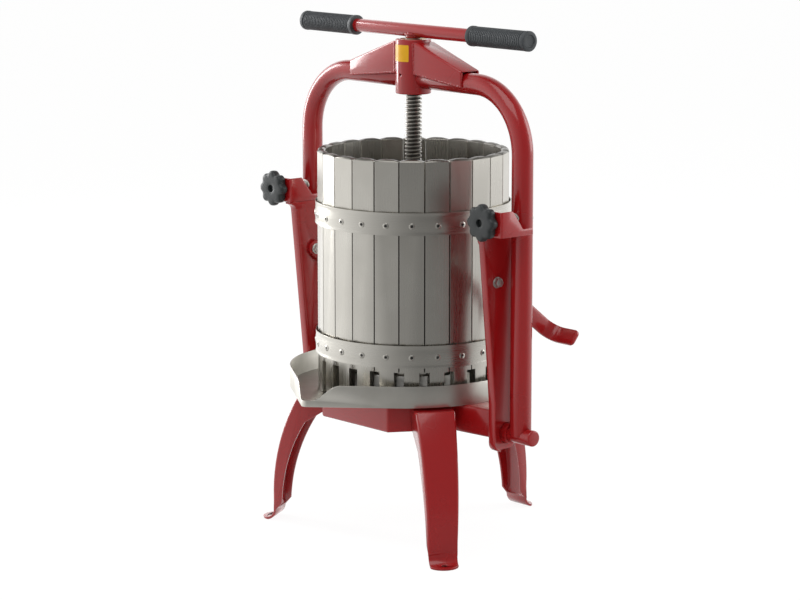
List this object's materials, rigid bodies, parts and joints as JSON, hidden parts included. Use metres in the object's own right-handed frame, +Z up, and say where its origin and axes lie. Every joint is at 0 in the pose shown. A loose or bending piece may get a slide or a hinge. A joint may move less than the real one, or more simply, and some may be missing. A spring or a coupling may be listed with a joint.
{
  "type": "screw fruit press",
  "caption": "Hand screw press for fruit: a slatted stainless basket in a spouted pan, under a spindle and T handle in a back-tilting painted steel yoke on three legs.",
  "frame": {"origin": "on the floor, at the centre of the circle of the three foot bolt holes, under the spindle's axis", "axes": "+Z up along the spindle, +X to the right along the pivot pins, -Y towards the front, where the spout and the knobs are"},
  "size_m": [0.56, 0.4818, 0.8158],
  "materials": {
    "red_enamel": "gloss",
    "stainless": "satin",
    "spindle_steel": "machined",
    "zinc_steel": "zinc plated",
    "bronze": "machined",
    "black_plastic": "moulded",
    "black_rubber": "moulded"
  },
  "bodies": {
    "frame": {"base_tray": "red_enamel", "leg_right": "red_enamel", "leg_left": "red_enamel", "leg_rear": "red_enamel", "upright_left": "red_enamel", "upright_right": "red_enamel", "clamp_head_left": "red_enamel", "clamp_head_right": "red_enamel", "pivot_bush_left": "zinc_steel", "pivot_bush_right": "zinc_steel", "stop_arm_left": "red_enamel", "stop_arm_right": "red_enamel", "stop_arm_bolts": "zinc_steel", "juice_pan": "stainless"},
    "yoke": {"yoke_arch": "red_enamel", "yoke_gussets": "red_enamel", "yoke_boss": "red_enamel", "spindle_nut": "bronze", "pivot_pin_left": "red_enamel", "pivot_pin_right": "red_enamel", "clamp_inserts": "zinc_steel"},
    "plate": {"press_plate": "stainless"},
    "screw": {"spindle": "spindle_steel", "handle_hub": "red_enamel", "handle_bar": "red_enamel", "grip_left": "black_rubber", "grip_right": "black_rubber"},
    "washer_left": {"knob_washer_left": "zinc_steel"},
    "washer_right": {"knob_washer_right": "zinc_steel"},
    "clamp_left": {"knob_left": "black_plastic", "knob_stud_left": "zinc_steel"},
    "clamp_right": {"knob_right": "black_plastic", "knob_stud_right": "zinc_steel"},
    "basket": {"hoop_upper": "stainless", "hoop_lower": "stainless", "slat_01": "stainless", "slat_02": "stainless", "slat_03": "stainless", "slat_04": "stainless", "slat_05": "stainless", "slat_06": "stainless", "slat_07": "stainless", "slat_08": "stainless", "slat_09": "stainless", "slat_10": "stainless", "slat_11": "stainless", "slat_12": "stainless", "slat_13": "stainless", "slat_14": "stainless", "slat_15": "stainless", "slat_16": "stainless", "slat_17": "stainless", "slat_18": "stainless", "slat_19": "stainless", "slat_20": "stainless", "slat_21": "stainless", "slat_22": "stainless", "slat_23": "stainless", "slat_24": "stainless"}
  },
  "joints": [
    {"name": "yoke_tilt", "type": "hinge", "parent": "frame", "child": "yoke", "pos_m": [0, 0, 0.196], "axis": [-1, 0, 0], "range_deg": [0, 3.5]},
    {"name": "plate_travel", "type": "slide", "parent": "yoke", "child": "plate", "axis": [0, 0, 1], "range_m": [0, 0.37]},
    {"name": "spindle_spin", "type": "hinge", "parent": "plate", "child": "screw", "pos_m": [0, 0, 0.5], "axis": [0, 0, 1], "range_deg": [0, 22140]},
    {"name": "washer_slide_left", "type": "slide", "parent": "frame", "child": "washer_left", "axis": [0, -1, 0], "range_m": [0, 0.012]},
    {"name": "knob_turn_left", "type": "hinge", "parent": "washer_left", "child": "clamp_left", "pos_m": [-0.248, -0.08, 0.5336], "axis": [0, -1, 0], "range_deg": [0, 2881]},
    {"name": "washer_slide_right", "type": "slide", "parent": "frame", "child": "washer_right", "axis": [0, -1, 0], "range_m": [0, 0.012]},
    {"name": "knob_turn_right", "type": "hinge", "parent": "washer_right", "child": "clamp_right", "pos_m": [0.248, -0.08, 0.5336], "axis": [0, -1, 0], "range_deg": [0, 2881]},
    {"name": "basket_lift", "type": "slide", "parent": "frame", "child": "basket", "axis": [0, 0, 1], "range_m": [0, 0.012]}
  ],
  "couplings": [
    {"joint": "plate_travel", "follows": "spindle_spin", "m_per_rad": 0.00095493},
    {"joint": "knob_turn_left", "follows": "washer_slide_left", "rad_per_m": 4188.8},
    {"joint": "knob_turn_right", "follows": "washer_slide_right", "rad_per_m": 4188.8}
  ]
}
